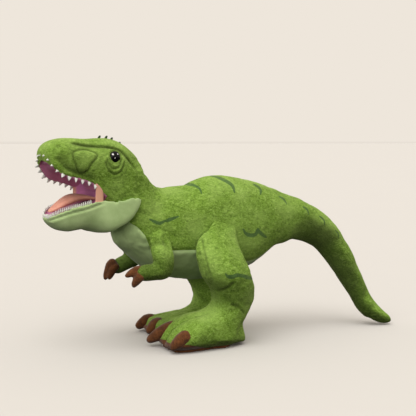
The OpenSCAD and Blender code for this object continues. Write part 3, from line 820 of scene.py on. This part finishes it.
# ---- Jaw -------------------------------------------------------------------------------------------------------------
JAW_TOP = [(-236, 167), (-233, 170), (-229, 173), (-224, 176.3), (-215, 179), (-207, 181), (-192, 184.4),
           (-181, 187), (-170, 188.4), (-158, 187.2), (-147, 187.6), (-137, 190.3), (-130, 190.4), (-125, 188)]
JAW_LOW = [(-236, 164.5), (-235.2, 163), (-233, 160.2), (-228.7, 156.5), (-222, 152.2), (-214, 149.8), (-206.9, 149.2),
           (-198, 150.3), (-189, 151), (-180, 148), (-171, 146), (-160, 147), (-150, 152), (-141.5, 156.5),
           (-135.7, 161.5), (-129.9, 169), (-126.5, 176), (-124, 182)]
JAW_HALF = [(-236, 5), (-234.5, 11), (-232, 15.5), (-228, 19.5), (-222, 23.2), (-214, 26), (-206, 28), (-194, 30),
            (-182, 31.5), (-172, 33.5), (-160, 36), (-148, 38.5), (-138, 40), (-130, 40), (-124, 38.5)]
xs = np.concatenate([np.linspace(-236, -228, 8)[:-1], np.linspace(-228, -124, 62)])
rows = []
for x in xs:
    top, low, half = (read(table, x) for table in (JAW_TOP, JAW_LOW, JAW_HALF))
    u = np.linspace(0, math.pi, 33)
    square = 0.34 * ease(-182, -158, x)
    outer = np.stack([np.full(33, x), -half * np.sign(np.cos(u)) * np.abs(np.cos(u)) ** (0.66 - square),
                      top - (top - low) * np.sin(u) ** (0.62 - square)], 1)
    dip = 6.5 * ease(-235, -224, x)
    v = np.linspace(0, math.pi, 17)[1:-1]
    inner = np.stack([np.full(15, x), (half - 1.5) * np.cos(v), top - dip * np.sin(v) ** 0.5], 1)
    rows.append(np.concatenate([outer, inner]))
jaw = loft(rows)
jaw.co = from_head(jaw.co)
jaw = remeshed(jaw, 1.7).relax(5, 0.5)
hj = to_head(jaw.co)


def mouth_floor(p):
    """Positive on the lining inside the lower lips, in the head's frame."""
    half = along(JAW_HALF, p[:, 0])
    top = along(JAW_TOP, p[:, 0])
    inner = (half - 2.8) - np.abs(p[:, 1])
    depth = 0.6 + 8.4 * ease(-233, -224, p[:, 0])
    return np.minimum(np.minimum(inner, p[:, 2] - (top - depth)), np.minimum(p[:, 0] + 233, -158 - p[:, 0]))


nj = jaw.normals()
LIP_BAND = smooth_line([(-238, 161), (-234, 164.5), (-229, 167.6), (-215, 172.8), (-198, 176.5), (-188, 179.3),
                        (-179, 182.5), (-170, 185)])
d, t, s = line_distance(hj[:, [0, 2]], LIP_BAND)
on = ease(0.2, 0.5, np.abs(nj[:, 1])) * ease(1, 0.85, t)
jaw_push = on * (-1.5 * bell(d, 1.2) + 0.5 * bell(d - 3.5, 2.2)) + 0.5 * lumps(jaw.co, 20, 5)
# Painted shade in the groove along the lower lip.
jaw_shade = 1 - on * 0.42 * bell(d, 1.1)
jaw.co += nj * jaw_push[:, None]


def floor_field(p):
    return mouth_floor(to_head(p))


JAW_BEND = head_point(-146.0, 170), head_point(-172.0, 170)
floor_faces = snapped(jaw, floor_field)
part, used = cut(jaw, ~floor_faces)
jaw_cover = piece("jaw_skin", part, PALE, "plush_pale", ["jaw_skin", "jaw_filling"], 0.8, shade=jaw_shade[used])
bend(jaw_cover, "head", "jaw", *JAW_BEND)
part, used = cut(jaw, floor_faces)
floor_piece = piece("mouth_floor_lining", part, MAUVE, "mouth_fabric", ["mouth_floor_lining"])
bend(floor_piece, "head", "jaw", *JAW_BEND)

# ---- Tongue ----------------------------------------------------------------------------------------------------------
rows = []
for x, half, top, low in ((-232, 3.5, 174.4, 172.4), (-229, 6.5, 176.8, 172.8), (-225, 9, 180, 173.6),
                          (-219, 11.5, 184.8, 176), (-212, 13.5, 189.6, 179), (-205, 16, 193.2, 181.5),
                          (-198, 18.5, 194.8, 184), (-190, 22, 194.3, 185.5), (-182, 26, 192.2, 186),
                          (-174, 28, 190, 186)):
    c, s = circle(24)
    dent = 1.4 * bell(half * c, 2.2) * (s > 0) * ease(-230, -222, x)
    rows.append(np.stack([np.full(24, x), half * c, (top + low) / 2 + (top - low) / 2 * s - dent], 1))
tongue = loft(rows)
tongue.co = from_head(tongue.co)
tongue = subdivided(remeshed(tongue, 1.4).relax(3, 0.5))
# Painted shade: the tongue darker towards the back of the mouth.
deep = to_head(tongue.co)[:, 0]
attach(piece("tongue", tongue, PEACH, "tongue_fabric", ["tongue"], 0.6, shade=1 - 0.45 * ease(-222, -198, deep)),
        "jaw")

# ---- Back of the mouth, with the webs at its corners -----------------------------------------------------------------
rows = []
for z in np.linspace(182, 209, 14):
    mid = np.interp(z, [182, 188, 196, 209], [-181, -177, -173, -175])
    y = np.linspace(-30.5, 30.5, 25)
    front = mid + (-184.5 - mid) * np.abs(y / 30.5) ** 3.2
    sides = np.linspace(-184, -173, 5)[1:]
    ring_points = np.concatenate([
        np.stack([front, y], 1), np.stack([sides, np.full(4, 31.0)], 1),
        np.stack([np.full(9, -170.0), np.linspace(24, -24, 9)], 1), np.stack([sides[::-1], np.full(4, -31.0)], 1)])
    rows.append(np.concatenate([ring_points, np.full((len(ring_points), 1), z)], 1))
wall = subdivided(loft(rows))
wall_web = ease(25.5, 28.0, np.abs(wall.co[:, 1]))
# Painted shade: the back of the mouth darker towards its middle.
wall_shade = 1 - 0.35 * ease(24, 6, np.abs(wall.co[:, 1]))
wall.co = from_head(wall.co)
bend(piece("mouth_back", wall, MOUTH, "mouth_fabric", web=wall_web, shade=wall_shade), "head", "jaw",
     head_point(-180.0, 204), head_point(-180.0, 186))

# ---- Limbs -----------------------------------------------------------------------------------------------------------
trunk_tree = BVHTree.FromPolygons(body.co.tolist(), body.faces)


def sunk(skin, share, depth):
    """Draws points towards the trunk's surface: share 0 leaves a point, 1 puts it depth below that surface."""
    for i in np.nonzero(share > 0.001)[0]:
        spot, normal, _, _ = trunk_tree.find_nearest(Vector(skin.co[i]))
        spot, normal = np.array(spot), np.array(normal)
        height = (skin.co[i] - spot) @ normal
        if height > -depth:
            skin.co[i] -= normal * (height + depth) * share[i]


def top_height(p, slope):
    """A height that also grows towards the sides of a limb's top, so that its corners sink in first."""
    x, z = p[:, 0], p[:, 2]
    if slope:
        return z + slope * np.maximum(x + 20, 0) + 0.9 * np.maximum(-30 - x, 0) * ease(118, 150, z)
    return z + 0.9 * np.abs(x + 101) * ease(112, 140, z)


def limb(filling, voxel, top, full, slope, carve, shift=None):
    """A limb's skin, clear of the trunk below the height full and sewn into it at the height top, and its painted
    shading.
    """
    s = remeshed(cad(filling).swell(SKIN_T), voxel).relax(4, 0.55).swell(0.6)
    if shift:
        s.co = shift(s.co)
    share = ease(full, top, top_height(s.co, slope))
    sunk(s, share, 0.5)
    s.relax(2, 0.4)
    s = puffed(s, share + ease(8, 4, s.co[:, 2]), 3.0, 1.2)
    s = subdivided(s)
    push, shade_s = carve(s.co, s.normals())
    s.co += s.normals() * (push * ease(top, full, top_height(s.co, slope)))[:, None]
    return s, shade_s


LEG_STRIPES = [([(-28, 95.5), (-25, 92), (-19, 91.5), (-12, 93), (-3, 91), (10, 87), (18, 85)],
                [0.8, 2.4, 2.2, 1.8, 2.4, 2.0, 1.2])]


def leg_carve(side):
    """The folds, seams and toes of a leg, as a push and painted shading at each point: darker in the folds and toe
    grooves, near the floor, on downward faces and on the lower leg.
    """
    knee = smooth_line([(-34, 72.5), (-29, 74), (-25.6, 76), (-20, 80), (-14, 87)])
    ankle = smooth_line([(-18.8, 55.5), (-8.8, 52.5), (-1, 47), (4.4, 41.2), (10, 36)])
    instep = smooth_line([(-32.7, 54.5), (-38, 49), (-43.8, 44.5), (-52, 42)])
    thigh = smooth_line([(-35, 152), (-43, 144.8), (-49.8, 132.6), (-52.2, 120.1), (-50.4, 101), (-43.5, 86),
                         (-34, 74)])
    seam = smooth_line([(-38, 146), (-42.3, 140.6), (-46.9, 123.8), (-47.9, 109.8), (-44.4, 92.2), (-36, 77)])
    toe = smooth_line([(-94, -55), (-84, -57), (-74.4, -59), (-64.3, -60), (-48.4, -63), (-33, -68)])

    def carve(p, n):
        q = p[:, [0, 2]]
        push = np.zeros(len(p))
        shade_l = np.ones(len(p))
        outside = ease(0.1, 0.5, np.abs(n[:, 1]))
        # Folds pressed in along these lines, with painted shade in them.
        for line, depth, width, dark in ((knee, 2.2, 2.2, 0.35), (ankle, 1.8, 2.0, 0.3), (instep, 1.2, 2.0, 0.2),
                                         (thigh, 0.9, 1.6, 0.3), (seam, 1.1, 1.2, 0.35)):
            d, t, s = line_distance(q, line)
            fade = ease(0, 0.15, t) * ease(1, 0.7, t) * outside
            push -= fade * depth * bell(d, width)
            shade_l *= 1 - dark * fade * bell(d, width)
        d, t, s = line_distance(np.stack([p[:, 0], -np.abs(p[:, 1])], 1), toe)
        groove = ease(1, 0.45, t) * ease(5, 14, p[:, 2]) * (p[:, 0] < -28) * (p[:, 2] < 55)
        push -= groove * (2.0 * bell(d, 1.8) + 2.6 * bell(d, 6.0))
        # Painted shade in the toe grooves.
        shade_l *= 1 - 0.4 * bell(d, 1.8) * groove
        push += 0.8 * lumps(p, 22, 3 + side) + 0.35 * lumps(p, 8, 6 + side, 1)
        # Painted shade: darker near the floor and on downward faces.
        shade_l *= (1 - 0.6 * ease(19, 5, p[:, 2])) * (1 - 0.4 * ease(0.1, -0.8, n[:, 2]))
        # Painted shade on a band of the lower leg, from about 45 to 96 mm up.
        shade_l *= 1 - 0.22 * ease(96, 80, p[:, 2]) * ease(45, 60, p[:, 2])
        return push, shade_l

    return carve


def claws_from(claws):
    """Stuffed felt claws as one skin."""
    made = []
    for root, knuckle, tip, radius in claws:
        line = smooth_line([root, knuckle, tip], 9)
        way = np.gradient(line, axis=0)
        way /= np.linalg.norm(way, axis=1, keepdims=True)
        side_way = np.cross(way, np.array([0, 0, 1.0]))
        side_way /= np.linalg.norm(side_way, axis=1, keepdims=True)
        up_way = np.cross(side_way, way)
        share = np.linspace(0, 1, len(line))
        r = radius * np.interp(share, [0, 0.08, 0.25, 0.5, 0.75, 0.92, 1.0], [0.45, 0.75, 1.0, 0.98, 0.76, 0.48, 0.2])
        cos, sin = (part[:, None] for part in circle(16))
        made.append(loft([middle + ri * (cos * a + 0.92 * sin * b)
                          for middle, ri, a, b in zip(line, r, side_way, up_way)]))
    skin = subdivided(remeshed(joined(*made), 1.5).relax(2, 0.5))
    skin.co += skin.normals() * (0.35 * lumps(skin.co, 7, 11))[:, None]
    skin.co[:, 2] = np.maximum(skin.co[:, 2], 0.5)
    return skin


# each claw by its root, knuckle, tip and greatest radius, on the left (-1) and the right (1)
FOOT_CLAWS = {
    -1: [((-62, -74, 22), (-79, -79, 18.5), (-98, -80, 6.5), 10.6),
         ((-68, -44, 26), (-86, -37, 20), (-107, -27, 7), 10.8)],
    1: [((-58, 64, 15), (-70, 65.5, 13.5), (-85, 66, 5.5), 9.6),
        ((-58, 38, 15), (-70, 34, 13.5), (-84, 27, 5.5), 9.6)]}
HAND_CLAWS = {
    -1: [((-124, -59, 103), (-134, -58, 101.5), (-147, -57, 95), 6.2),
         ((-124, -62, 99), (-132, -64.5, 94), (-141, -66, 83), 6.8)],
    1: [((-116, 57, 99), (-124, 57.5, 93), (-132, 58, 75), 7.4),
        ((-115, 53, 95), (-123, 51.5, 89), (-129, 50, 76), 6.4)]}


def cap_field(p):
    """Positive where the sole's brown felt wraps up the front of the foot."""
    return 1.6 + 10.5 * ease(-38, -84, p[:, 0]) - p[:, 2] - 30 * ease(-20, -10, p[:, 0])


def foot_shift(side):
    """Narrows the thigh's top, spreads the foot on the floor, drops its heel and lowers the right foot's toes."""
    def shift(p):
        p = p.copy()
        near_floor = ease(20, 7, p[:, 2])
        p[:, 0] += 0.75 * ease(118, 168, p[:, 2]) * np.maximum(-10 - p[:, 0], 0)
        centre = np.array([-45.0, side * 55.0])
        out = p[:, :2] - centre
        out /= np.linalg.norm(out, axis=1, keepdims=True) + 1e-6
        p[:, :2] += out * (3.6 * near_floor * (p[:, 2] < 40))[:, None]
        heel = ease(-30, 5, p[:, 0] - 20 * (side > 0))
        p[:, 2] -= 0.65 * p[:, 2] * ease(24, 9, p[:, 2]) * heel
        p[:, 0] += 7.0 * ease(30, 4, p[:, 2]) * ease(-60, -25, p[:, 0] - 20 * (side > 0))
        if side > 0:
            p[:, 2] -= 8.5 * ease(12, 30, p[:, 2]) * ease(66, 46, p[:, 2]) * ease(-76, -52, p[:, 0]) * ease(
                26, -6, p[:, 0])
        return p

    return shift


for side, name in SIDES:
    s, shade_l = limb(f"leg_{name}_filling", 2.6, 168, 92, 0.4, leg_carve(side), foot_shift(side))
    s.co[:, 2] = np.maximum(s.co[:, 2], 1.2)
    capped = snapped(s, cap_field)
    toe_cap, _ = cut(s, capped)
    marks = stripes(s.co, LEG_STRIPES) * (np.abs(s.co[:, 1]) > 60)
    s, used = cut(s, ~capped)
    o = piece(f"leg_{name}_skin", s, GREEN, "plush_green", [f"leg_{name}_skin", f"leg_{name}_filling"], 0.8,
              shade=shade_l[used], stripe=marks[used])
    bend(o, "trunk", f"leg_{name}", (-18, side * 50, 160), (-18, side * 50, 128))
    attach(piece(f"foot_{name}_claws", claws_from(FOOT_CLAWS[side]), BROWN, "brown_felt", [f"foot_{name}_claws"],
                  0.8), f"leg_{name}")
    sole = remeshed(cad(f"sole_{name}"), 1.5).relax(2, 0.5)
    middle = sole.co.mean(0)
    sole.co = (sole.co - middle) * np.array([0.9, 0.88, 1]) + middle - np.array([4, 0, 0])
    sole.co[:, 2] = np.clip(sole.co[:, 2], 0.0, 4)
    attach(piece(f"sole_{name}", joined(sole, toe_cap), BROWN, "brown_felt", [f"sole_{name}"]), f"leg_{name}")


def arm_carve(side):
    """The elbow fold of the left arm and the soft lumps of both, as a push and painted shading at each point: darker in
    the fold, on the lower arm and on downward faces.
    """
    def carve(p, n):
        push = np.zeros(len(p))
        shade_a = np.ones(len(p))
        if side < 0:
            q = p[:, [0, 2]]
            fold = smooth_line([(-115, 122), (-111, 130), (-104, 133.5), (-94, 132.5), (-86, 130)])
            d, t, s = line_distance(q, fold)
            push -= 3.0 * bell(d, 2.4) * ease(1, 0.75, t)
            # Painted shade in the elbow fold.
            shade_a *= 1 - 0.4 * bell(d, 2.2) * ease(1, 0.75, t)
        push += 0.6 * lumps(p, 15, 8 + side)
        # Painted shade: darker on the lower arm and on downward faces.
        shade_a *= (1 - 0.5 * ease(132, 108, p[:, 2])) * (1 - 0.45 * ease(0.1, -0.8, n[:, 2]))
        return push, shade_a

    return carve


for side, name in SIDES:
    s, shade_a = limb(f"arm_{name}_filling", 2.0, 152, 108, 0.0, arm_carve(side))
    o = piece(f"arm_{name}_skin", s, GREEN, "plush_green", [f"arm_{name}_skin", f"arm_{name}_filling"], 0.8,
              shade=shade_a, stripe=np.zeros(len(s.co)))
    bend(o, "trunk", f"arm_{name}", (-100, side * 50, 150), (-100, side * 50, 122))
    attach(piece(f"hand_{name}_claws", claws_from(HAND_CLAWS[side]), BROWN, "brown_felt", [f"hand_{name}_claws"],
                  0.8), f"arm_{name}")

# ---- Teeth and spikes ------------------------------------------------------------------------------------------------
head_tree = BVHTree.FromPolygons(to_head(body.co).tolist(), body.faces)


def tooth(base, out, along_lip, down, width, length):
    """One flat felt tooth with a rounded point."""
    thick = 1.3
    w = width / 2
    outline = [(-w, -1.2), (-w, 0.6), (-w * 0.55, length * 0.55), (-w * 0.16, length * 0.95), (0, length),
               (w * 0.16, length * 0.95), (w * 0.55, length * 0.55), (w, 0.6), (w, -1.2)]
    front = [base + along_lip * a + down * b + out * (thick / 2 + 0.3 * (b / length) * thick) for a, b in outline]
    back = [base + along_lip * a + down * b - out * thick / 2 for a, b in outline]
    m = len(outline)
    co = np.array(front + back)
    faces = [tuple(range(m)), tuple(range(2 * m - 1, m - 1, -1))]
    faces += [(i, (i + 1) % m, (i + 1) % m + m, i + m) for i in range(m)]
    tris = []
    for f in faces:
        if len(f) > 4:
            tris += [(f[0], f[i], f[i + 1]) for i in range(1, len(f) - 1)]
        else:
            tris.append(f[::-1])
    return Skin(co, tris)


def spaced(line, count, ends=0.0):
    """Evenly spaced points on a 3-D line with their directions."""
    step = np.linalg.norm(np.diff(line, axis=0), axis=1)
    at = np.concatenate([[0], np.cumsum(step)])
    places = np.linspace(ends, at[-1] - ends, count)
    points = np.stack([np.interp(places, at, line[:, i]) for i in range(3)], 1)
    ways = np.gradient(points, axis=0)
    return points, ways / np.linalg.norm(ways, axis=1, keepdims=True)


rng = np.random.default_rng(7)
xs = np.concatenate([np.linspace(-182, -230, 30), np.linspace(-231, -238.4, 20)])
lip_line = np.stack([xs, -(along(LIP_HALF, xs) - 2.2), along(LIP_Z, xs) + 0.6], 1)
lip_line = np.concatenate([lip_line, lip_line[::-1] * np.array([1, -1, 1])])
lip_line[:, 2] -= 3.4 * far_lip(lip_line)
points, ways = spaced(lip_line, 21, 3.0)
teeth = []
for at, way in zip(points, ways):
    down = np.array([-0.75, 0, -0.65]) + np.array([0, 0.25 * np.sign(at[1]), 0])
    down -= (down @ way) * way
    down /= np.linalg.norm(down)
    out = np.cross(way, down)
    front = ease(-205, -234, at[0]) + 0.6 * (at[1] > 8)
    rooted = 1.6 if at[1] < 0 else 0.6
    width = 3.9 + 0.9 * front + rng.uniform(-0.4, 0.3)
    length = 4.2 + 1.0 * front + rng.uniform(-0.7, 0.5)
    teeth.append(tooth(at - down * rooted, out, way, down, width, length))
teeth = joined(*teeth)
teeth.co = from_head(teeth.co)
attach(piece("upper_teeth_felt", teeth, WHITE, "white_felt", ["upper_teeth_felt"]), "head")

teeth = []
lower = []
for x in np.linspace(-188, -235, 40):
    lower.append((x, -(read(JAW_HALF, x) - 2.4), read(JAW_TOP, x) - 1.2))
lower = np.array(lower)
lower = np.concatenate([lower, lower[::-1] * np.array([1, -1, 1])])
points, ways = spaced(lower, 54, 1.0)
for at, way in zip(points, ways):
    front = ease(-190, -226, at[0])
    out = np.cross(way, np.array([0, 0, 1.0]))
    out /= np.linalg.norm(out)
    if out @ np.array([at[0] + 205, at[1], 0]) < 0:
        out = -out
    up = np.array([0, 0, 1.0]) - out * rng.uniform(0.0, 0.3)
    length = 3.4 + 0.8 * front + rng.uniform(-0.6, 0.6)
    teeth.append(tooth(at - out * 0.4, out, way, up / np.linalg.norm(up), 1.7, length))
teeth = joined(*teeth)
teeth.co = from_head(teeth.co)
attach(piece("lower_teeth_felt", teeth, WHITE, "white_felt", ["lower_teeth_felt"]), "jaw")

spikes = []
for x in (-162.5, -153, -145.5, -134.5):
    hit = head_tree.ray_cast(Vector((x, 0, 290)), Vector((0, 0, -1)), 90)
    top = np.array(hit[0])
    rows = []
    for r, u in ((1.7, -1.2), (1.5, 0.8), (1.3, 2.4), (0.6, 3.4)):
        c, s = circle(10)
        rows.append(np.stack([r * 1.3 * c + u * 0.45, r * 0.6 * s, np.full(10, u)], 1) + top)
    spikes.append(loft(rows))
spikes = joined(*spikes)
spikes.co = from_head(spikes.co)
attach(piece("crown_spikes", spikes, DARK, "dark_felt", ["crown_spikes"]), "head")

# ---- Floor, light and camera -----------------------------------------------------------------------------------------
HORIZON = (0.855, 0.791, 0.708)  # the cream of the room
CREAM = (0.605, 0.59, 0.57)  # the floor
FLOOR_HALF = 90  # metres
VIEW_TURN = math.radians(26)  # how far ahead of the left side the camera stands
VIEW_HEIGHT, VIEW_DISTANCE = 258.0, 1240
LENS, SENSOR = 80.481, 36  # millimetres
DOWNWARD = 0.072043  # slope of the view
floor_shader = Shader("cream_floor")
grain = floor_shader.noise(2.0, 2.0)
floor_color = floor_shader.mixed(floor_shader.spread(grain, 0.3, 0.7), tuple(c * 0.995 for c in CREAM), CREAM)
floor_shader.finish(floor_color, Roughness=1.0, Specular_IOR_Level=0.0)
plane = bpy.data.meshes.new("floor")
corners = [(x * FLOOR_HALF, y * FLOOR_HALF, 0) for x, y in ((-1, -1), (1, -1), (1, 1), (-1, 1))]
plane.from_pydata(corners, [], [(0, 1, 2, 3)])
plane.materials.append(floor_shader.material)
floor = bpy.data.objects.new("floor", plane)
floor.visible_diffuse = False
floor.visible_glossy = False
bpy.context.scene.collection.objects.link(floor)


def sun(name, way, strength, spread, color):
    """A broad soft light that shines along a direction."""
    light = bpy.data.lights.new(name, "SUN")
    light.energy = strength
    light.angle = math.radians(spread)
    light.color = color
    o = bpy.data.objects.new(name, light)
    o.rotation_euler = Vector(way).to_track_quat("-Z", "Y").to_euler()
    bpy.context.scene.collection.objects.link(o)


view_way = np.array([math.sin(VIEW_TURN), math.cos(VIEW_TURN), 0])
view_right = np.array([math.cos(VIEW_TURN), -math.sin(VIEW_TURN), 0])
sun("key", 0.5 * view_way + 0.25 * view_right - np.array([0, 0, 1.0]), 1.7, 50, (1.0, 0.99, 0.97))
sun("fill", view_way + 0.45 * view_right - np.array([0, 0, 0.06]), 0.6, 40, (1.0, 0.99, 0.98))
# The room is cream all round and above, and dim below the floor.
world = bpy.data.worlds.new("studio")
world.use_nodes = True
links, nodes = world.node_tree.links, world.node_tree.nodes
height = nodes.new("ShaderNodeSeparateXYZ")
links.new(nodes.new("ShaderNodeTexCoord").outputs["Generated"], height.inputs[0])
ramp = nodes.new("ShaderNodeValToRGB")
steps = ((0.0, 0.05), (0.492, 0.10), (0.4985, 1.0), (0.6, 1.0), (1.0, 1.15))
while len(ramp.color_ramp.elements) < len(steps):
    ramp.color_ramp.elements.new(0.5)
for element, (at, value) in zip(ramp.color_ramp.elements, steps):
    element.position = at
    element.color = (*[c * value for c in HORIZON], 1)
halved = nodes.new("ShaderNodeMath")
halved.operation = "MULTIPLY_ADD"
halved.inputs[1].default_value = halved.inputs[2].default_value = 0.5
links.new(height.outputs["Z"], halved.inputs[0])
links.new(halved.outputs[0], ramp.inputs[0])
links.new(ramp.outputs[0], nodes["Background"].inputs["Color"])
bpy.context.scene.world = world
bpy.context.scene.view_settings.view_transform = "Standard"
bpy.context.scene.view_settings.look = "None"

camera = bpy.data.cameras.new("camera")
camera.lens, camera.sensor_width = LENS, SENSOR
stand = np.array([0, 17.0, VIEW_HEIGHT]) - view_way * VIEW_DISTANCE
view_point = bpy.data.objects.new("camera", camera)
view_point.location = to_world([stand])[0]
view_point.rotation_euler = Vector(view_way - np.array([0, 0, DOWNWARD])).to_track_quat("-Z", "Y").to_euler()
bpy.context.scene.collection.objects.link(view_point)
bpy.context.scene.camera = view_point
